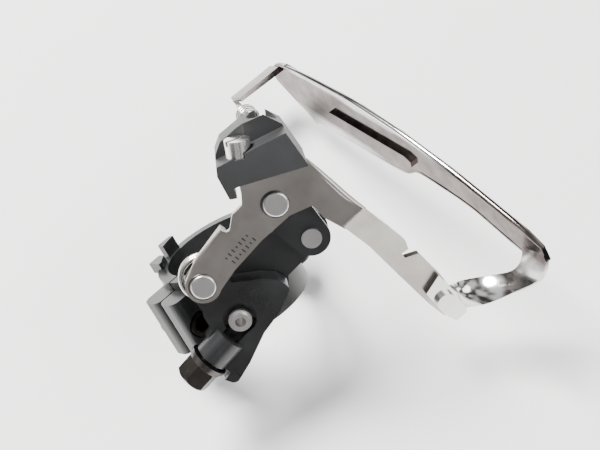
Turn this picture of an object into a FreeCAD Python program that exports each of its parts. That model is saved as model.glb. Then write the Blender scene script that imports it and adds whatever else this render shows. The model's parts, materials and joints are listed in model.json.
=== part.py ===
import FreeCAD
import Part
import math
import os

V = FreeCAD.Vector

# Frame: origin on the seat tube axis at the middle of the clamp, +X to the drive side,
# +Y forward, +Z up along the tube. The linkage is built square (x across, y fore and aft,
# z up) and then turned about the tube by LINK_YAW. Sizes in millimetres.

# clamp
TUBE_R = 14.3
BAND_WALL = 3.0
BAND_HALF = 10.0
SPLIT = 0.3
HINGE_R = 1.8
KNUCKLE_R = 3.6
KNUCKLE_HALF = 3.0
CLAMP_TURN = 12.0
EAR_GAP = 6.0
EAR_REAR = 7.5
EAR_FRONT = 7.5
BOLT_R = 2.0
BOLT_HEAD_R = 3.6
BOLT_HEAD_H = 4.0
BOLT_Z = -1.5
NUT_T = 3.2
BORE_RELIEF = 1.0

# linkage
LINK_YAW = -25.0
LINK_OUT = 6.0
PIN_CABLE = (-5.4, -0.8)
PIN_OUTER = (19.6, 9.3)
LINK_DX = -3.3
LINK_DZ = 12.7
PIN_R = 2.2
HOLLOW_R = 1.3
RUN = 0.05
PLATE_FACE = 30.0
PLATE_T = 1.5
LINK_FACE = 29.6
LINK_T = 2.1
BODY_T = 5.4
DRUM_R = 12.0
DRUM_AT = (-2.0, 4.5)
DRUM_FACE = 23.0
END_R = 4.4
HEAD_R = 3.1
HEAD_H = 0.8

# cable anchor
ANCHOR_AT = (-21.5, -8.8)
ANCHOR_DEPTH = 28.6
ANCHOR_TILT = 22.0
ANCHOR_R = 2.5
ANCHOR_AF = 8.0
ANCHOR_HEAD_H = 5.4
WASHER_R = 4.6
WASHER_T = 0.9

# cage
CAGE_X = 53.5
SHEET = 1.3
INNER_X = 39.0
BRIDGE_Z = 30.4
BRIDGE_W = 6.5
BRIDGE_FRONT = 37.2
LEG_HALF = 2.0
LEG_ROOT = (24.0, 27.0)
COIL_BACK = 21.0
RIVET_R = 2.6

# limit screws
SCREW_LEAN = 20.0
SCREW_R = 1.45
SCREW_HEAD_R = 3.0
SCREW_HEAD_H = 4.0
SCREW_LEN = 6.0
LOW_SCREW = (14.6, -34.3, 37.4)
HIGH_SCREW = (20.6, -27.8, 35.0)

# springs
WIRE_R = 0.65
SPRING_R = 5.4
LOCK_WIRE_R = 0.5
LOCK_R = 3.2
LOCK_PITCH = 2.4

PIN_CAGE_IN = (PIN_CABLE[0] + LINK_DX, PIN_CABLE[1] + LINK_DZ)
PIN_CAGE_OUT = (PIN_OUTER[0] + LINK_DX, PIN_OUTER[1] + LINK_DZ)
BAND_R = TUBE_R + BAND_WALL
HINGE_X = BAND_R + 2.2
BOLT_X = -(BAND_R + 1.6)
EAR_OUT = BAND_R + EAR_GAP


def cyl(r, h, at, way):
    return Part.makeCylinder(r, h, V(*at), V(*way))


def box(x0, x1, y0, y1, z0, z1):
    return Part.makeBox(x1 - x0, y1 - y0, z1 - z0, V(x0, y0, z0))


def turned(shape):
    """Turn a piece built in the linkage's square frame into the part's frame."""
    out = shape.copy()
    out.rotate(V(0, 0, 0), V(0, 0, 1), LINK_YAW)
    out.translate(V(LINK_OUT, 0, 0))
    return out


def placed(x, y, z):
    """A point of the linkage's square frame, in the part's frame."""
    yaw = math.radians(LINK_YAW)
    return V(LINK_OUT + x * math.cos(yaw) - y * math.sin(yaw),
             x * math.sin(yaw) + y * math.cos(yaw), z)


def clocked(shape):
    """Turn a piece of the clamp, built with its ears to the left, about the tube."""
    out = shape.copy()
    out.rotate(V(0, 0, 0), V(0, 0, 1), CLAMP_TURN)
    return out


def slab(points, face, thick):
    """A flat piece in the linkage frame: outline (x, z), its rear face at y = -face."""
    ring = [V(x, -face, z) for x, z in points]
    wire = Part.makePolygon(ring + ring[:1])
    return Part.Face(wire).extrude(V(0, thick, 0))


def disc(at, r, face, thick):
    """A round boss or pin in the linkage frame, its rear face at y = -face."""
    return cyl(r, thick, (at[0], -face, at[1]), (0, 1, 0))


def strap(a, ra, b, rb, face, thick):
    """A link blank with round ends about a and b."""
    dx, dz = b[0] - a[0], b[1] - a[1]
    gap = math.hypot(dx, dz)
    base = math.atan2(dz, dx)
    lean = math.acos((ra - rb) / gap)
    corners = []
    for centre, r, side in ((a, ra, 1), (b, rb, 1), (b, rb, -1), (a, ra, -1)):
        turn = base + side * lean
        corners.append((centre[0] + r * math.cos(turn), centre[1] + r * math.sin(turn)))
    body = slab(corners, face, thick)
    return body.fuse([disc(a, ra, face, thick), disc(b, rb, face, thick)]).removeSplitter()


def softened(shape, size, wanted):
    """Fillet the edges that pass the test one set at a time, keeping the piece if it fails."""
    edges = [e for e in shape.Edges if wanted(e)]
    if not edges:
        return shape
    try:
        out = shape.makeFillet(size, edges)
        if out.isValid() and out.Volume > 0:
            return out
    except Exception:
        pass
    return shape


def upright(edge):
    """True for a straight edge parallel to the tube."""
    if edge.Curve.TypeId != "Part::GeomLine":
        return False
    return abs(edge.tangentAt(edge.FirstParameter).z) > 0.99


def fore_aft(edge):
    """True for a straight edge along the linkage pins, in the linkage frame."""
    if edge.Curve.TypeId != "Part::GeomLine":
        return False
    return abs(edge.tangentAt(edge.FirstParameter).y) > 0.99


def tube_space():
    return cyl(TUBE_R, 200, (0, 0, -100), (0, 0, 1))


def bore_relief():
    """Room round the tube above and below the band, so that only the band grips it."""
    low = cyl(TUBE_R + BORE_RELIEF, 40, (0, 0, -BAND_HALF - 40), (0, 0, 1))
    return low.fuse(cyl(TUBE_R + BORE_RELIEF, 40, (0, 0, BAND_HALF), (0, 0, 1)))


def half_band(side):
    """One half of the clamp ring with its ear; side is -1 for the rear, +1 for the front."""
    ring = cyl(BAND_R, 2 * BAND_HALF, (0, 0, -BAND_HALF), (0, 0, 1))
    deep = EAR_REAR if side < 0 else EAR_FRONT
    ear = box(-EAR_OUT, -TUBE_R + 1, min(0, side * deep), max(0, side * deep), -9, 7.5)
    ear = softened(ear, 2.6, upright_outer)
    near = BAND_R + 5
    keep = box(-EAR_OUT - 1, near, min(side * SPLIT, side * near), max(side * SPLIT, side * near),
               -BAND_HALF, BAND_HALF)
    body = ring.fuse(ear).common(keep)
    hole = cyl(BOLT_R + 0.5, 40, (BOLT_X, -20, BOLT_Z), (0, 1, 0))
    return body.cut(tube_space()).cut(hole)


def upright_outer(edge):
    return upright(edge) and edge.CenterOfMass.x < -TUBE_R - 5


def knuckle(z0, z1):
    """One knuckle of the clamp hinge, joined back to the ring."""
    web = box(BAND_R - 2, HINGE_X, -KNUCKLE_R, KNUCKLE_R, z0, z1)
    return cyl(KNUCKLE_R, z1 - z0, (HINGE_X, 0, z0), (0, 0, 1)).fuse(web)


def knuckle_space(z0, z1):
    return cyl(KNUCKLE_R + 0.5, z1 - z0, (HINGE_X, 0, z0), (0, 0, 1))


def hinge_bore(extra):
    return cyl(HINGE_R + extra, 40, (HINGE_X, 0, -20), (0, 0, 1))


def clamp_band():
    gap = 0.3
    lower = knuckle_space(-BAND_HALF - 1, -KNUCKLE_HALF - gap + 0.1)
    upper = knuckle_space(KNUCKLE_HALF + gap - 0.1, BAND_HALF + 1)
    web = knuckle(-KNUCKLE_HALF, KNUCKLE_HALF)
    web = web.cut(box(0, HINGE_X, -10, SPLIT, -20, 20).cut(knuckle_space(-20, 20)))
    body = half_band(1).cut(lower).cut(upper).fuse(web)
    body = body.cut(tube_space()).cut(hinge_bore(RUN))
    seat = cyl(BOLT_HEAD_R + 0.1, NUT_T, (BOLT_X, EAR_FRONT - NUT_T, BOLT_Z), (0, 1, 0))
    lug = softened(box(-7.0, -2.0, 12.0, 16.8, BAND_HALF - 1, BAND_HALF + 3.8), 1.0, upright)
    small = box(-12.5, -8.6, 10.0, 15.0, BAND_HALF - 1, BAND_HALF + 2.0)
    lugs = lug.fuse(small).cut([bore_relief(), tube_space()])
    return clocked(body.fuse(lugs).cut(seat).removeSplitter())


def clamp_nut():
    """Round nut pressed into the front ear."""
    body = cyl(BOLT_HEAD_R + 0.1, NUT_T, (BOLT_X, EAR_FRONT - NUT_T, BOLT_Z), (0, 1, 0))
    return clocked(body.cut(cyl(BOLT_R + 0.3, 20, (BOLT_X, 0, BOLT_Z), (0, 1, 0))))


def clamp_bolt():
    head = cyl(BOLT_HEAD_R - 0.3, BOLT_HEAD_H, (BOLT_X, -EAR_REAR + 0.2, BOLT_Z), (0, 1, 0))
    head = head.makeFillet(0.5, [head.Edges[0]])
    shank = cyl(BOLT_R, EAR_REAR + EAR_FRONT - 0.7, (BOLT_X, -EAR_REAR + 0.2, BOLT_Z), (0, 1, 0))
    socket = hexagon(4.0, 3.0).copy()
    socket.rotate(V(0, 0, 0), V(1, 0, 0), -90)
    socket.translate(V(BOLT_X, -EAR_REAR + 0.1, BOLT_Z))
    return clocked(head.fuse(shank).cut(socket))


def hexagon(across, high):
    """Upright hexagonal prism standing on the origin."""
    r = across / math.sqrt(3)
    ring = [V(r * math.cos(math.radians(60 * k)), r * math.sin(math.radians(60 * k)), 0)
            for k in range(7)]
    return Part.Face(Part.makePolygon(ring)).extrude(V(0, 0, high))


def front_room():
    """Room that the front band swings through."""
    return box(-60, 60, -SPLIT, 60, -30, 40)


def hinge_pin():
    return clocked(cyl(HINGE_R, 2 * BAND_HALF + 1, (HINGE_X, 0, -BAND_HALF - 0.5), (0, 0, 1)))


def clamp_bracket():
    top = KNUCKLE_HALF + 0.3
    knuckles = knuckle(-BAND_HALF, -top).fuse(knuckle(top, BAND_HALF))
    front = box(0, HINGE_X, -SPLIT, 10, -20, 20).cut(knuckle_space(-20, 20))
    body = half_band(-1).cut(knuckle_space(-top, top)).fuse(knuckles.cut(front))
    head = cyl(BOLT_HEAD_R, BOLT_HEAD_H + 5.3, (BOLT_X, -EAR_REAR - 5, BOLT_Z), (0, 1, 0))
    body = clocked(body.cut(head).cut(hinge_bore(0)))
    drum = disc(DRUM_AT, DRUM_R, DRUM_FACE, 13)
    for k in range(2):
        groove = disc(DRUM_AT, DRUM_R + 1, DRUM_FACE - 1.6 - 2.6 * k, 1.0)
        drum = drum.cut(groove.cut(disc(DRUM_AT, DRUM_R - 0.8, DRUM_FACE, 13)))
    arm = strap(DRUM_AT, 7.0, PIN_OUTER, 4.8, DRUM_FACE + 0.2, 4.5)
    bosses = [disc(PIN_CABLE, 6.0, LINK_FACE - BODY_T - 0.1, 3.0),
              disc(PIN_OUTER, 3.9, LINK_FACE - LINK_T - 0.1, 5.0)]
    mount = turned(drum.fuse([arm] + bosses))
    mount = mount.cut(clocked(half_band(1).fuse(front_room())))
    mount = mount.cut(bore_relief())
    body = body.fuse(mount)
    holes = [turned(disc(PIN_CABLE, PIN_R, 40, 26)), turned(disc(PIN_OUTER, PIN_R, 40, 22))]
    body = body.cut(holes).cut(tube_space())
    return body.removeSplitter()


def lower_pin_inner():
    """Hollow pivot pin of the cable link."""
    pin = disc(PIN_CABLE, PIN_R, PLATE_FACE + 1.5, PLATE_FACE + 1.5 - 18.5)
    collar = disc(PIN_CABLE, HEAD_R - 0.2, LINK_FACE + 1.1, 1.0)
    return turned(pin.fuse(collar).cut(disc(PIN_CABLE, HOLLOW_R, 40, 30))).cut(tube_space())


def lower_pin_outer():
    face = LINK_FACE - LINK_T + 1.7
    pin = disc(PIN_OUTER, PIN_R, face, face - 20.0)
    head = disc(PIN_OUTER, HEAD_R - 0.6, face + 0.5, 0.5)
    return turned(pin.fuse(head))


def anchor_way():
    turn = math.radians(ANCHOR_TILT)
    return V(math.cos(turn), 0, math.sin(turn))


def anchor_cyl(r, start, end):
    """Round piece about the cable anchor's axis, in the linkage frame."""
    way = anchor_way()
    at = V(ANCHOR_AT[0], -ANCHOR_DEPTH, ANCHOR_AT[1]) + way * start
    return Part.makeCylinder(r, end - start, at, way)


def cable_link():
    outline = [(9.3, 0.5), (7.4, 3.9), (4.1, 6.0), (-3.1, 8.9), (-9.9, 8.6), (-12.9, 4.5),
               (-12.9, -0.2), (-15.5, -2.0), (-17.5, -6.0), (-17.6, -12.5), (-14.6, -16.2),
               (-8.8, -12.5), (-2.0, -7.1), (4.0, -4.0)]
    body = slab(outline, LINK_FACE, BODY_T)
    body = softened(body, 1.6, fore_aft)
    lobe = anchor_cyl(4.3, 5.2, 12.6)
    arm = strap(PIN_CABLE, 6.0, PIN_CAGE_IN, END_R, LINK_FACE, LINK_T)
    body = body.fuse([lobe, arm])
    pocket = disc(PIN_CAGE_IN, SPRING_R + 1.5, LINK_FACE - LINK_T, 6)
    seat = anchor_cyl(6.4, -8.0, 5.2)
    recess = disc(PIN_CABLE, HEAD_R + 1.0, LINK_FACE + 1, 2.2)
    collar_room = disc(PIN_CABLE, HEAD_R, LINK_FACE + 1, 2.0)
    body = body.cut([pocket, seat, recess, collar_room])
    body = body.cut([disc(PIN_CABLE, PIN_R + RUN, 40, 30), disc(PIN_CAGE_IN, PIN_R, 40, 30)])
    return turned(body.cut(anchor_cyl(ANCHOR_R + 0.1, 0, 20)).removeSplitter())


def anchor_bolt():
    head = hexagon(ANCHOR_AF, ANCHOR_HEAD_H)
    cone = Part.makeCone(ANCHOR_AF * 0.5, ANCHOR_AF * 0.5 + 4.0, 4.0)
    head = head.common(cone.fuse(cyl(9, 9, (0, 0, 0.8), (0, 0, 1))))
    head.rotate(V(0, 0, 0), V(0, 1, 0), 90 - ANCHOR_TILT)
    start = V(ANCHOR_AT[0], -ANCHOR_DEPTH, ANCHOR_AT[1]) - anchor_way() * (ANCHOR_HEAD_H / 2)
    head.translate(start)
    return turned(head.fuse(anchor_cyl(ANCHOR_R, 0, 12.6)))


def anchor_washer(number):
    start = ANCHOR_HEAD_H / 2 + WASHER_T * number
    r = WASHER_R + 0.5 * number
    return turned(anchor_cyl(r, start, start + WASHER_T).cut(anchor_cyl(ANCHOR_R, 0, 20)))


def helix(wire_r, radius, pitch, turns, at, way):
    """A plain round-wire coil standing along way."""
    path = Part.makeHelix(pitch, pitch * turns, radius)
    ring = Part.Wire([Part.Edge(Part.Circle(V(radius, 0, 0), V(0, 1, 0), wire_r))])
    coil = Part.Wire(path.Edges).makePipeShell([ring], True, True)
    turn = FreeCAD.Rotation(V(0, 0, 1), V(*way))
    coil.Placement = FreeCAD.Placement(V(*at), turn).multiply(coil.Placement)
    return coil


def return_spring():
    start = LINK_FACE - LINK_T - 0.05 - WIRE_R
    at = (PIN_CAGE_IN[0], -start, PIN_CAGE_IN[1])
    return turned(helix(WIRE_R, SPRING_R, 2 * WIRE_R + 0.1, 1.9, at, (0, 1, 0)))


def outer_link():
    blank = strap(PIN_OUTER, 4.7, PIN_CAGE_OUT, 6.2, LINK_FACE - LINK_T + 1.6, 1.6)
    holes = [disc(PIN_OUTER, PIN_R + RUN, 40, 30), disc(PIN_CAGE_OUT, PIN_R + 4 * RUN, 40, 30)]
    return turned(blank.cut(holes))


def upper_pin(at, face, front, run):
    pin = disc(at, PIN_R - run, face + 0.1, face + 0.1 - front)
    head = disc(at, HEAD_R, face + HEAD_H, HEAD_H)
    head = head.makeFillet(0.5, [e for e in head.Edges if abs(e.CenterOfMass.y + face + HEAD_H) < 0.01])
    return turned(pin.fuse(head))


def upper_washer(at, front):
    ring = disc(at, END_R - 0.3, PLATE_FACE, PLATE_FACE - front)
    return turned(ring.cut(disc(at, PIN_R + RUN, 40, 30)))


def arm_frame():
    """Middle of the arm's bend, and the ways down and across the arm."""
    rear = -PLATE_FACE - PLATE_T
    bend = [placed(x, rear, z) for x, z in ((34.2, 9.8), (28.7, 7.4))]
    middle = (bend[0] + bend[1]) * 0.5
    tail = V(INNER_X - 2, -33, -33)
    down = (tail - middle).normalize()
    normal = (bend[1] - bend[0]).cross(tail - bend[0]).normalize()
    if normal.y > 0:
        normal = normal * -1
    return middle, down, normal.cross(down), normal


def arm_point(u, v):
    middle, down, across, _ = arm_frame()
    return middle + down * u + across * v


def arm():
    outline = [(-1.5, 3.2), (8.0, 4.1), (14.7, 4.6), (17.6, 3.6), (17.2, 1.6), (19.0, 1.4),
               (21.0, 4.6), (31.4, 4.6), (41.0, 3.6), (45.5, 1.6), (45.6, -0.8), (43.1, -2.4),
               (36.5, -2.9), (22.2, -2.8), (8.2, -2.6), (-1.5, -3.4)]
    ring = [arm_point(u, v) for u, v in outline]
    normal = arm_frame()[3]
    return Part.Face(Part.makePolygon(ring + ring[:1])).extrude(normal * -PLATE_T)


def cage_bracket():
    """The steel plate that carries both upper pins, with the arm down to the cage's tail."""
    outline = [(11.5, 31.9), (10.3, 28.0), (9.2, 25.6), (6.0, 24.6), (3.2, 20.8), (1.8, 22.6),
               (-8.4, 17.6), (-12.6, 14.0), (-10.7, 8.0), (-5.4, 9.0), (-0.1, 11.9), (9.2, 15.5),
               (17.9, 17.8), (23.9, 17.4), (24.6, 13.5), (28.0, 8.0), (34.4, 10.0), (32.1, 14.2),
               (27.5, 28.6)]
    plate = slab(outline, PLATE_FACE + PLATE_T, PLATE_T)
    plate = softened(plate, 0.9, fore_aft)
    end = disc(PIN_CAGE_IN, END_R, PLATE_FACE + PLATE_T, PLATE_T)
    lip = slab([(1.8, 22.6), (-8.4, 17.6), (-7.7, 16.2), (2.5, 21.2)], PLATE_FACE + PLATE_T, 3.9)
    body = plate.fuse([end, lip])
    holes = [disc(PIN_CAGE_IN, PIN_R, 40, 20), disc(PIN_CAGE_OUT, PIN_R, 40, 20)]
    body = turned(body.cut(holes)).fuse(arm())
    return body.cut(tail_hole()).removeSplitter()


def tail_way():
    return arm_frame()[3]


def tail_hole():
    at = arm_point(38.0, 0.8) + tail_way() * 10
    return Part.makeCylinder(RIVET_R - 0.6, 30, at, tail_way() * -1)


def leg_ends():
    """Middle of the front leg where it meets the bracket plate and under the front bridge."""
    root = placed(LEG_ROOT[0], -PLATE_FACE, LEG_ROOT[1])
    return root, V(INNER_X - SHEET / 2, BRIDGE_FRONT, BRIDGE_Z - 0.8 - LEG_HALF)


def front_leg():
    """Narrow strap from the bracket plate forward to the front bridge."""
    root, front = leg_ends()
    way = (front - root).normalize()
    side = V(way.y, -way.x, 0).normalize()
    tall = V(0, 0, LEG_HALF)
    start = root - way * 2
    knee = V(front.x, front.y, front.z) - V(way.x, way.y, 0) * BRIDGE_W
    ring = [start - tall, start + tall, knee + tall, front + tall, front - tall, knee - tall]
    ring = [point - side * (SHEET / 2) for point in ring]
    sheet = Part.Face(Part.makePolygon(ring + ring[:1])).extrude(side * SHEET)
    return sheet.cut(turned(box(-60, 60, -60, -PLATE_FACE, -60, 60)))


def cage_face(points, x0, x1):
    ring = [V(x0, y, z) for y, z in points]
    return Part.Face(Part.makePolygon(ring + ring[:1])).extrude(V(x1 - x0, 0, 0))


def outer_cage_plate():
    outline = [(37.3, 31.6), (33.0, 32.6), (28.0, 32.2), (20.6, 29.1), (2.9, 22.6), (-4.8, 19.1),
               (-19.1, 11.2), (-28.1, 5.2), (-34.6, 0.8), (-45.6, -7.8), (-55.0, -15.4),
               (-58.3, -19.4), (-58.2, -23.6), (-53.8, -24.2), (-49.8, -22.0), (-40.9, -14.2),
               (-35.9, -9.8), (-22.9, -2.9), (-17.5, -0.6), (-13.0, -2.0), (-9.2, -1.1),
               (2.9, 3.6), (13.2, 8.0), (24.0, 12.4), (26.4, 12.2), (28.0, 15.6), (30.8, 18.6),
               (37.3, 27.3)]
    plate = cage_face(outline, CAGE_X, CAGE_X + SHEET)
    rail = cage_face([(12.0, 17.6), (-17.5, 4.9), (-19.3, 3.0), (-18.4, 1.4), (-15.0, 1.8),
                      (14.0, 14.2)], CAGE_X - 1.3, CAGE_X)
    return plate.fuse([rail, front_bridge(), tail_bridge()]).removeSplitter()


def front_bridge():
    """Cross piece over the chain at the cage's front."""
    low = BRIDGE_Z - 0.8
    ring = [(INNER_X - SHEET, low), (INNER_X - SHEET, low + SHEET), (CAGE_X, 32.0 + 0.2),
            (CAGE_X + SHEET, 31.0), (CAGE_X + 0.2, 30.4)]
    pts = [V(x, BRIDGE_FRONT - BRIDGE_W, z) for x, z in ring]
    return Part.Face(Part.makePolygon(pts + pts[:1])).extrude(V(0, BRIDGE_W, 0))


def tail_bridge():
    """Curved strap that closes the cage behind the chain."""
    lift = tail_way() * (SHEET + 0.02)
    near = [V(CAGE_X + SHEET, -58.0, -21.5), V(CAGE_X - 1.0, -55.5, -28.0), V(CAGE_X - 5.0, -48.0, -31.2),
            V(CAGE_X - 10.0, -41.0, -32.2), arm_point(44.0, 4.2) + lift]
    far = [V(CAGE_X + SHEET, -50.2, -20.5), V(CAGE_X - 0.8, -48.0, -25.5), V(CAGE_X - 3.5, -42.5, -28.0),
           V(CAGE_X - 8.5, -37.5, -27.0), arm_point(35.0, 4.2) + lift]
    edges = []
    for row in (near, far):
        curve = Part.BSplineCurve()
        curve.interpolate(row)
        edges.append(curve.toShape())
    face = Part.makeRuledSurface(edges[0], edges[1])
    strap_body = face.makeOffsetShape(-SHEET, 0.01, fill=True)
    tab_ring = [arm_point(u, v) + tail_way() * 0.02 for u, v in
                ((30.0, 4.2), (44.0, 4.4), (46.6, 2.4), (46.6, -1.0), (42.0, -2.0), (32.0, -1.4))]
    tab = Part.Face(Part.makePolygon(tab_ring + tab_ring[:1])).extrude(tail_way() * SHEET)
    return strap_body.fuse(tab).cut(tail_hole())


def tail_rivet():
    start = arm_point(38.0, 0.8) + tail_way() * (SHEET + 0.02)
    pin = Part.makeCylinder(RIVET_R - 0.6, SHEET + PLATE_T + 0.6, start, tail_way() * -1)
    dome = Part.makeCylinder(RIVET_R, 1.2, start, tail_way())
    return pin.fuse(dome)


def lock_spring():
    """Small coil round the front leg."""
    root, front = leg_ends()
    way = (front - root).normalize()
    return helix(LOCK_WIRE_R, LOCK_R - LOCK_WIRE_R, LOCK_PITCH, 3.0, front - way * COIL_BACK, way)


def screw_way():
    turn = math.radians(SCREW_LEAN)
    return V(math.sin(turn), 0, math.cos(turn))


def screw_cyl(seat, r, start, end):
    at = V(*seat) + screw_way() * start
    return Part.makeCylinder(r, end - start, at, screw_way())


def limit_block():
    outline = [(8.2, 36.4), (9.6, 39.4), (12.0, 41.6), (18.6, 43.0), (23.8, 42.6), (26.6, 38.6),
               (27.7, 29.0), (27.5, 28.6), (11.5, 31.9), (10.2, 32.0), (9.8, 29.6), (8.1, 30.2)]
    body = slab(outline, 37.6, 13.1)
    top = slab([(7.0, 37.0), (8.2, 38.4), (28.0, 38.0), (28.0, 46.0), (7.0, 46.0)], 39.0, 7.6)
    body = body.cut(top)
    plate_room = slab([(5.0, 33.3), (5.0, 20.0), (30.0, 20.0), (30.0, 28.0)],
                      PLATE_FACE + PLATE_T, PLATE_T)
    body = body.cut(plate_room)
    for seat in (LOW_SCREW, HIGH_SCREW):
        body = body.cut([screw_cyl(seat, SCREW_R + RUN, -SCREW_LEN - 4, 8),
                         screw_cyl(seat, SCREW_HEAD_R + 0.5, 0, 12)])
    body = softened(body, 0.6, fore_aft)
    return turned(body.removeSplitter())


def limit_screw(seat):
    head = screw_cyl(seat, SCREW_HEAD_R, 0.1, 0.1 + SCREW_HEAD_H)
    shank = screw_cyl(seat, SCREW_R, -SCREW_LEN, 1.0)
    slot = Part.makeBox(8, 0.9, 1.4, V(-4, -0.45, SCREW_HEAD_H - 1.0))
    slot.rotate(V(0, 0, 0), V(0, 0, 1), 35)
    slot.rotate(V(0, 0, 0), V(0, 1, 0), SCREW_LEAN)
    slot.translate(V(*seat))
    return turned(head.fuse(shank).cut(slot))


def main():
    os.makedirs("parts", exist_ok=True)
    link_front = LINK_FACE - LINK_T
    nodes = {
        "clamp_bracket": clamp_bracket(),
        "clamp_band": clamp_band(),
        "clamp_nut": clamp_nut(),
        "clamp_bolt": clamp_bolt(),
        "hinge_pin": hinge_pin(),
        "lower_pin_inner": lower_pin_inner(),
        "lower_pin_outer": lower_pin_outer(),
        "cable_link": cable_link(),
        "anchor_bolt": anchor_bolt(),
        "anchor_washer_near": anchor_washer(0),
        "anchor_washer_far": anchor_washer(1),
        "return_spring": return_spring(),
        "outer_link": outer_link(),
        "upper_pin_inner": upper_pin(PIN_CAGE_IN, PLATE_FACE + PLATE_T, link_front - 4.0, RUN),
        "upper_pin_outer": upper_pin(PIN_CAGE_OUT, PLATE_FACE + PLATE_T, link_front - 0.5, 0),
        "upper_washer_inner": upper_washer(PIN_CAGE_IN, LINK_FACE),
        "upper_washer_outer": upper_washer(PIN_CAGE_OUT, link_front + 1.7),
        "cage_bracket": cage_bracket(),
        "front_leg": front_leg(),
        "outer_cage_plate": outer_cage_plate(),
        "tail_rivet": tail_rivet(),
        "lock_spring": lock_spring(),
        "limit_block": limit_block(),
        "limit_screw_low": limit_screw(LOW_SCREW),
        "limit_screw_high": limit_screw(HIGH_SCREW),
    }
    for name, shape in nodes.items():
        shape.exportStep("parts/" + name + ".step")


main()
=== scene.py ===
import json
import math

import bmesh
import bpy
from mathutils import Matrix, Vector


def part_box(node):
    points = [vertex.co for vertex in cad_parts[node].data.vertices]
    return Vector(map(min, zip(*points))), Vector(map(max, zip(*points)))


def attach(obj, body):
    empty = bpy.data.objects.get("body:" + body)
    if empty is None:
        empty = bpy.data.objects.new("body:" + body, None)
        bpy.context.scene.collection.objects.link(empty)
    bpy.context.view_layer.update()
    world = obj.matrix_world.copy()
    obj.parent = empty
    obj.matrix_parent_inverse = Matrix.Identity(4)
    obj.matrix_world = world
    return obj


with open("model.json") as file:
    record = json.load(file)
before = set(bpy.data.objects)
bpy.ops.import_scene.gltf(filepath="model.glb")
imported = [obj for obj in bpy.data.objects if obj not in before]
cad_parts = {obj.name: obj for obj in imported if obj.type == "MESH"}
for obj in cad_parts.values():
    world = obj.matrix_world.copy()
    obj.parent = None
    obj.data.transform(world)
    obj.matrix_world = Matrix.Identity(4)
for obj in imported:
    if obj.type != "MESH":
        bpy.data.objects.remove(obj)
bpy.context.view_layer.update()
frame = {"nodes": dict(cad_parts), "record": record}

# camera, in metres and degrees
AZIMUTH = -20.37
ELEVATION = 20.63
ROLL = -29.13
DISTANCE = 0.31155
AIM = Vector((0.02257, -0.0021, 0.00069))
LENS = 68.8

# linkage: its turn about the tube, its shift to the drive side, the steel plate's rear face
LINK_YAW = math.radians(-25.0)
LINK_OUT = 0.006
PLATE_REAR = 0.0315

# added detail
RIM_R = 0.0009
# dark wire rings of painted shade round the upper pins' heads
SHADE_RING_R = 0.0033
SHADE_RING_WIRE_R = 0.00022
SHADE_RING_STEPS = 24
MARK_ROWS = 2
MARKS_IN_ROW = 7
MARK_STEP = 1.25
MARK_HALF = 0.16

# stage
FLOOR_HALF = 1.6
FLOOR_CELLS = 60
FLOOR_GAP = 0.0005


# ---------------------------------------------------------------- shader maths

class Net:
    """Builds one material's nodes and hands out sockets that take Python arithmetic."""

    def __init__(self, name):
        self.material = bpy.data.materials.new(name)
        self.material.use_nodes = True
        self.tree = self.material.node_tree
        self.shader = self.tree.nodes["Principled BSDF"]

    def add(self, kind, out=0, settings=None, inputs=None):
        """Adds a node: its settings first, then its sockets' values or links."""
        node = self.tree.nodes.new(kind)
        for key, value in (settings or {}).items():
            setattr(node, key, value)
        for key, value in (inputs or {}).items():
            self.put(node.inputs[key], value)
        return Wire(self, node.outputs[out])

    def put(self, socket, value):
        if isinstance(value, Wire):
            self.tree.links.new(value.socket, socket)
        else:
            socket.default_value = value

    def maths(self, operation, *values):
        return self.add("ShaderNodeMath", 0, {"operation": operation}, dict(enumerate(values)))

    def place(self):
        return self.add("ShaderNodeTexCoord", "Object")

    def noise(self, scale, detail=3.0, rough=0.5):
        return self.add("ShaderNodeTexNoise", 0, None,
                        {"Scale": scale, "Detail": detail, "Roughness": rough,
                         "Vector": self.place()})

    def across(self, top, slope, width):
        """0 along a sloping line in the side view, 1 one width below it, in object space."""
        fore = self.add("ShaderNodeSeparateXYZ", 1, None, {0: self.place()})
        high = self.add("ShaderNodeSeparateXYZ", 2, None, {0: self.place()})
        return (top + slope * fore - high) / width

    def mix(self, factor, first, second):
        return self.add("ShaderNodeMix", 2, {"data_type": "RGBA"}, {0: factor, 6: first, 7: second})

    def bump(self, height, strength, distance, over=None):
        inputs = {"Height": height, "Strength": strength, "Distance": distance}
        if over is not None:
            inputs["Normal"] = over
        return self.add("ShaderNodeBump", 0, None, inputs)

    def clear_behind(self):
        """Lets the underside of a sheet be seen through."""
        output = self.tree.nodes["Material Output"]
        clear = self.tree.nodes.new("ShaderNodeBsdfTransparent")
        blend = self.tree.nodes.new("ShaderNodeMixShader")
        self.put(blend.inputs[0], self.add("ShaderNodeNewGeometry", "Backfacing"))
        self.tree.links.new(self.shader.outputs[0], blend.inputs[1])
        self.tree.links.new(clear.outputs[0], blend.inputs[2])
        self.tree.links.new(blend.outputs[0], output.inputs["Surface"])
        return self.material

    def set(self, **values):
        for key, value in values.items():
            self.put(self.shader.inputs[key.replace("_", " ")], value)
        return self.material


class Wire:
    """A node output that adds, subtracts, multiplies and divides like a number."""

    def __init__(self, net, socket):
        self.net = net
        self.socket = socket

    def __add__(self, other):
        return self.net.maths("ADD", self, other)

    def __radd__(self, other):
        return self.net.maths("ADD", other, self)

    def __sub__(self, other):
        return self.net.maths("SUBTRACT", self, other)

    def __rsub__(self, other):
        return self.net.maths("SUBTRACT", other, self)

    def __mul__(self, other):
        return self.net.maths("MULTIPLY", self, other)

    def __rmul__(self, other):
        return self.net.maths("MULTIPLY", other, self)

    def __truediv__(self, other):
        return self.net.maths("DIVIDE", self, other)

    def step(self, low, high):
        """0 below low, 1 above high, straight between."""
        return self.net.add("ShaderNodeMapRange", 0, None, {0: self, 1: low, 2: high})


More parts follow.
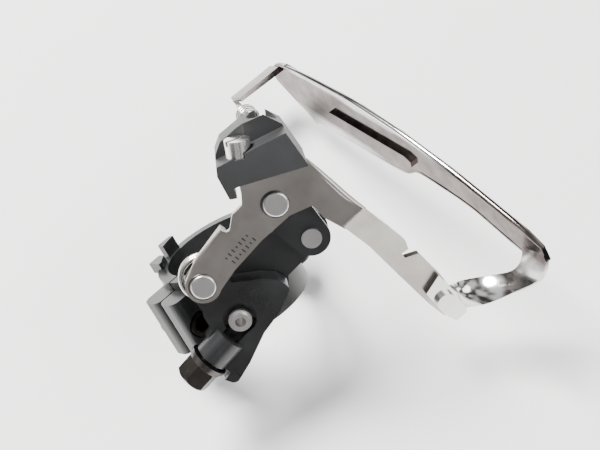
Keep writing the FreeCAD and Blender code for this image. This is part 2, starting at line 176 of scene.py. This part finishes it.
def grey(value, warm=0.0):
    """A near-grey colour, redder where warm is above 0 and bluer below."""
    return (value * (1 + warm), value, value * (1 - warm), 1.0)


def painted(name, dark, light, rough):
    """Black paint with a fine grain and a few rubbed patches."""
    net = Net(name)
    broad = net.noise(60.0).step(0.35, 0.7)
    fine = net.noise(2600.0, 2.0)
    rubs = net.noise(320.0, 4.0, 0.6).step(0.62, 0.75)
    colour = net.mix(broad, dark, light)
    colour = net.mix(rubs * 0.25, colour, grey(0.06))
    return net.set(Base_Color=colour, Roughness=rough + 0.12 * broad - 0.08 * rubs,
                   Specular_IOR_Level=0.6, Normal=net.bump(fine, 0.25, 0.00006))


def metal(name, dark, light, rough):
    """Bare metal with broad tone, fine grain and scattered duller spots."""
    net = Net(name)
    broad = net.noise(90.0, 4.0).step(0.3, 0.7)
    fine = net.noise(900.0, 3.0, 0.6)
    spots = net.noise(420.0, 3.0, 0.7).step(0.66, 0.78)
    colour = net.mix(broad, dark, light)
    colour = net.mix(spots * 0.4, colour, grey(0.25, 0.1))
    return net.set(Base_Color=colour, Metallic=1.0,
                   Roughness=rough + 0.1 * fine + 0.08 * spots,
                   Normal=net.bump(fine, 0.12, 0.00004))


def chrome(name):
    """Polished sheet with a painted reflection: darker and browner through its middle than along its
    edges.
    """
    net = Net(name)
    across = net.across(0.0205, 0.5, 0.0195)
    wander = net.noise(45.0, 2.0) - 0.5
    depth = across + 0.22 * wander
    # painted reflection: a dark band across the sheet's middle, its edges wandering with noise
    shade = depth.step(0.05, 0.14) - 0.8 * depth.step(0.78, 0.92)
    streak = net.noise(170.0, 4.0, 0.65).step(0.35, 0.7)
    # painted reflection colours: dark browns standing in for dark things mirrored in the sheet; streak
    # also sets the roughness
    dark = net.mix(streak, (0.06, 0.04, 0.035, 1.0), (0.2, 0.165, 0.155, 1.0))
    colour = net.mix(shade * 0.9, grey(0.8, 0.01), dark)
    fine = net.noise(500.0, 3.0, 0.6)
    return net.set(Base_Color=colour, Metallic=1.0, Roughness=0.07 + 0.1 * fine + 0.06 * streak,
                   Normal=net.bump(fine, 0.06, 0.00004))


def plastic(name):
    """Moulded black plastic with a fine grain."""
    net = Net(name)
    broad = net.noise(70.0, 3.0).step(0.3, 0.75)
    fine = net.noise(3200.0, 2.0)
    colour = net.mix(broad, grey(0.018), grey(0.03, -0.06))
    return net.set(Base_Color=colour, Roughness=0.42 + 0.14 * broad,
                   Specular_IOR_Level=0.55, Normal=net.bump(fine, 0.3, 0.00005))


def cloth():
    net = Net("floor_cloth")
    weave = net.noise(900.0, 3.0, 0.6)
    folds = net.noise(9.0, 2.0)
    # painted shade: the cloth is darker where the fold noise runs low, in the hollows of its bumped folds
    colour = net.mix(folds, grey(0.86, 0.004), grey(0.93, -0.004))
    net.set(Base_Color=colour, Roughness=0.9 + 0.05 * weave,
            Normal=net.bump(weave, 0.25, 0.0002, net.bump(folds, 0.5, 0.006)))
    return net.clear_behind()


FINISH = {
    "bracket_black": painted("bracket_black", grey(0.008, -0.04), grey(0.016, -0.06), 0.3),
    "link_black": painted("link_black", grey(0.008, -0.04), grey(0.015, -0.06), 0.27),
    "block_plastic": plastic("block_plastic"),
    "plate_steel": metal("plate_steel", grey(0.3, 0.08), grey(0.44, 0.06), 0.27),
    "cage_chrome": chrome("cage_chrome"),
    "pin_steel": metal("pin_steel", grey(0.6, 0.02), grey(0.72, 0.02), 0.25),
    "screw_silver": metal("screw_silver", grey(0.75, 0.02), grey(0.85, 0.02), 0.2),
    "bolt_brown": metal("bolt_brown", grey(0.03, 0.1), grey(0.06, 0.1), 0.28),
    "washer_dark": metal("washer_dark", grey(0.06, 0.06), grey(0.12, 0.05), 0.25),
    "spring_wire": metal("spring_wire", grey(0.55, 0.06), grey(0.72, 0.06), 0.18),
}

SLOT_OF = {s["node"]: s["material_slot"] for s in frame["record"]["subparts"]}


# ---------------------------------------------------------------- carried-over pieces

def softened(obj, width, segments=3):
    """Rounds a piece's edges with a modifier and smooths its faces."""
    bevel = obj.modifiers.new("soft_edges", "BEVEL")
    bevel.width = width
    bevel.segments = segments
    bevel.limit_method = "ANGLE"
    bevel.angle_limit = math.radians(35)
    for face in obj.data.polygons:
        face.use_smooth = True
    obj.data.set_sharp_from_angle(angle=math.radians(40))


EDGE = {"clamp_bracket": 0.0005, "clamp_band": 0.0013, "limit_block": 0.0006,
        "cable_link": 0.0006, "outer_cage_plate": 0.0003, "cage_bracket": 0.0003}

for node_name, node in frame["nodes"].items():
    node.data.materials.clear()
    node.data.materials.append(FINISH[SLOT_OF[node_name]])
    softened(node, EDGE.get(node_name, 0.0002))


# ---------------------------------------------------------------- added detail

def placed(x, depth, z):
    """A point of the linkage's square frame in millimetres, in the part's frame in metres."""
    c, n = math.cos(LINK_YAW), math.sin(LINK_YAW)
    y = -depth
    return Vector((LINK_OUT + (x * c - y * n) / 1000, (x * n + y * c) / 1000, z / 1000))


def rolled(name, points, radius, body, slot_name, ends=1.0):
    """A smooth round bead through the points, such as a sheet's rolled edge."""
    curve = bpy.data.curves.new(name, "CURVE")
    curve.dimensions = "3D"
    curve.bevel_depth = radius
    curve.bevel_resolution = 4
    curve.resolution_u = 8
    curve.use_fill_caps = True
    spline = curve.splines.new("NURBS")
    spline.points.add(len(points) - 1)
    spline.use_endpoint_u = True
    spline.order_u = 3
    for index, point in enumerate(points):
        spline.points[index].co = (*point, 1.0)
        spline.points[index].radius = ends if index in (0, len(points) - 1) else 1.0
    obj = bpy.data.objects.new(name, curve)
    bpy.context.scene.collection.objects.link(obj)
    curve.materials.append(FINISH[slot_name])
    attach(obj, body)


def upper_hull(points):
    """Upper convex outline of (y, z) points given in order of y."""
    kept = []
    for point in points:
        while len(kept) > 1:
            (y0, z0), (y1, z1) = kept[-2:]
            if (y1 - y0) * (point[1] - z0) < (z1 - z0) * (point[0] - y0):
                break
            kept.pop()
        kept.append(point)
    return kept


def cage_rims():
    """Rolled edges along the top and foot of the polished outer sheet."""
    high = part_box("outer_cage_plate")[1]
    corners = frame["nodes"]["outer_cage_plate"].data.vertices
    outline = sorted({(round(v.co.y, 5), round(v.co.z, 5)) for v in corners if v.co.x > high.x - 0.0001})
    tail, front = outline[0], outline[-1]
    rise = (high.z - tail[1]) / (front[0] - tail[0])
    above = [p for p in outline if p[1] >= tail[1] + rise * (p[0] - tail[0])]
    below = [p for p in outline if p[1] < tail[1] + rise * (p[0] - tail[0]) and p[0] < front[0] - 0.013]
    top = [(high.x - RIM_R, y, z - RIM_R / 3) for y, z in upper_hull(above)]
    foot = [(high.x - RIM_R, y, z + RIM_R / 3) for y, z in below]
    rolled("cage_top_rim", top, RIM_R, "cage", "cage_chrome", 0.6)
    rolled("cage_foot_rim", foot, RIM_R * 0.7, "cage", "cage_chrome", 0.6)


def plate_edges():
    """Rounded edge down the steel plate's outer side and the folded edge by its inner pin."""
    rear = PLATE_REAR * 1000 - 0.75
    side = [(27.3, 28.0), (29.6, 21.5), (32.0, 14.2), (34.0, 10.2)]
    rolled("plate_side_edge", [placed(x, rear, z) for x, z in side], 0.0009, "cage", "plate_steel", 0.7)
    fold = [(1.9, 22.2), (-3.2, 19.8), (-8.2, 17.4), (-12.0, 14.2)]
    rolled("plate_fold_edge", [placed(x, rear, z) for x, z in fold], 0.0008, "cage", "plate_steel", 0.6)


def pin_shade_rings():
    """Dark wire rings round the two upper pins' heads, painted shade where the heads meet the plate."""
    for number, pin in enumerate(("upper_pin_inner", "upper_pin_outer")):
        low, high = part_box(pin)
        middle = (low + high) / 2
        rear = placed(0, PLATE_REAR * 1000 + 0.1, 0) - placed(0, 0, 0)
        way = rear.normalized()
        seat = middle + way * (rear.length - way.dot(middle - placed(0, 0, 0)))
        side = Vector((way.y, -way.x, 0))
        ring = [seat + side * (SHADE_RING_R * math.cos(t)) + Vector((0, 0, SHADE_RING_R * math.sin(t)))
                for t in (math.tau * k / SHADE_RING_STEPS for k in range(SHADE_RING_STEPS + 1))]
        # painted shade: a dark wire ring where the pin's head meets the plate
        rolled("pin_shade_ring_%d" % number, ring, SHADE_RING_WIRE_R, "cage", "washer_dark")


def stamped_marks():
    """Two rows of plain stamped ticks on the steel plate."""
    mesh = bpy.data.meshes.new("stamped_marks")
    marks = bmesh.new()
    along = Vector((9.3, 0, 3.6)).normalized()
    across = Vector((-along.z, 0, along.x))
    for row in range(MARK_ROWS):
        for k in range(MARKS_IN_ROW):
            centre = Vector((-0.4, 0, 15.6)) + along * (MARK_STEP * k + 0.4 * row) - across * (1.9 * row)
            tall = 0.55 if (k + row) % 3 else 0.3
            ring = []
            for du, dv in ((-MARK_HALF, -tall), (MARK_HALF, -tall), (MARK_HALF, tall), (-MARK_HALF, tall)):
                spot = centre + along * du + across * dv
                ring.append(marks.verts.new(placed(spot.x, PLATE_REAR * 1000 + 0.02, spot.z)))
            marks.faces.new(ring)
    marks.to_mesh(mesh)
    marks.free()
    obj = bpy.data.objects.new("stamped_marks", mesh)
    bpy.context.scene.collection.objects.link(obj)
    mesh.materials.append(FINISH["washer_dark"])
    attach(obj, "cage")


cage_rims()
pin_shade_rings()
plate_edges()
stamped_marks()


# ---------------------------------------------------------------- stage, light, camera

def camera_axes():
    a, e, r = (math.radians(v) for v in (AZIMUTH, ELEVATION, ROLL))
    back = Vector((math.sin(a) * math.cos(e), -math.cos(a) * math.cos(e), math.sin(e)))
    side = Vector((math.cos(a), math.sin(a), 0))
    top = back.cross(side)
    right = math.cos(r) * side + math.sin(r) * top
    return right, back.cross(right), back


def matrix_of(right, up, back, at):
    return Matrix.Translation(at) @ Matrix((right, up, back)).transposed().to_4x4()


def add_camera():
    right, up, back = camera_axes()
    data = bpy.data.cameras.new("camera")
    data.lens = LENS
    data.sensor_width = 36.0
    data.clip_start = 0.01
    camera = bpy.data.objects.new("camera", data)
    bpy.context.scene.collection.objects.link(camera)
    camera.matrix_world = matrix_of(right, up, back, AIM + back * DISTANCE)
    bpy.context.scene.camera = camera


def add_floor():
    """Pale cloth that the part lies on, tilted as the part lies."""
    right, up, back = camera_axes()
    normal = (up * 0.5 + back * 0.86 - right * 0.05).normalized()
    low = min(normal.dot(v.co) for n in frame["nodes"].values() for v in n.data.vertices)
    side = up.cross(normal).normalized()
    mesh = bpy.data.meshes.new("floor")
    grid = bmesh.new()
    bmesh.ops.create_grid(grid, x_segments=FLOOR_CELLS, y_segments=FLOOR_CELLS, size=FLOOR_HALF)
    grid.to_mesh(mesh)
    grid.free()
    floor = bpy.data.objects.new("floor", mesh)
    bpy.context.scene.collection.objects.link(floor)
    floor.matrix_world = matrix_of(side, normal.cross(side), normal, normal * (low - FLOOR_GAP))
    mesh.materials.append(cloth())


def add_area(name, at, aim, size, power, tint):
    data = bpy.data.lights.new(name, "AREA")
    data.shape = "DISK"
    data.size = size
    data.energy = power
    data.color = tint
    light = bpy.data.objects.new(name, data)
    bpy.context.scene.collection.objects.link(light)
    light.matrix_world = Matrix.Translation(at) @ (at - aim).to_track_quat("Z", "Y").to_matrix().to_4x4()


def add_lights():
    right, up, back = camera_axes()
    add_area("window", AIM - right * 0.5 + up * 0.75 + back * 0.6, AIM, 0.5, 44.0, (1.0, 0.99, 0.97))
    add_area("fill", AIM + right * 0.8 + up * 0.1 + back * 0.9, AIM, 0.9, 10.0, (0.96, 0.98, 1.0))
    add_room()


def add_room():
    """A pale room with darker patches, so that polished metal has something to show."""
    world = bpy.data.worlds.new("room")
    world.use_nodes = True
    tree = world.node_tree
    shade = tree.nodes["Background"]
    place = tree.nodes.new("ShaderNodeTexCoord")
    patches = tree.nodes.new("ShaderNodeTexNoise")
    patches.inputs["Scale"].default_value = 1.7
    patches.inputs["Detail"].default_value = 1.0
    ramp = tree.nodes.new("ShaderNodeValToRGB")
    ramp.color_ramp.elements[0].position = 0.42
    ramp.color_ramp.elements[0].color = (0.05, 0.042, 0.04, 1.0)
    ramp.color_ramp.elements[1].position = 0.56
    ramp.color_ramp.elements[1].color = (1.0, 1.0, 1.02, 1.0)
    tree.links.new(place.outputs["Generated"], patches.inputs["Vector"])
    tree.links.new(patches.outputs[0], ramp.inputs[0])
    tree.links.new(ramp.outputs[0], shade.inputs["Color"])
    shade.inputs["Strength"].default_value = 1.0
    bpy.context.scene.world = world


add_camera()
add_floor()
add_lights()
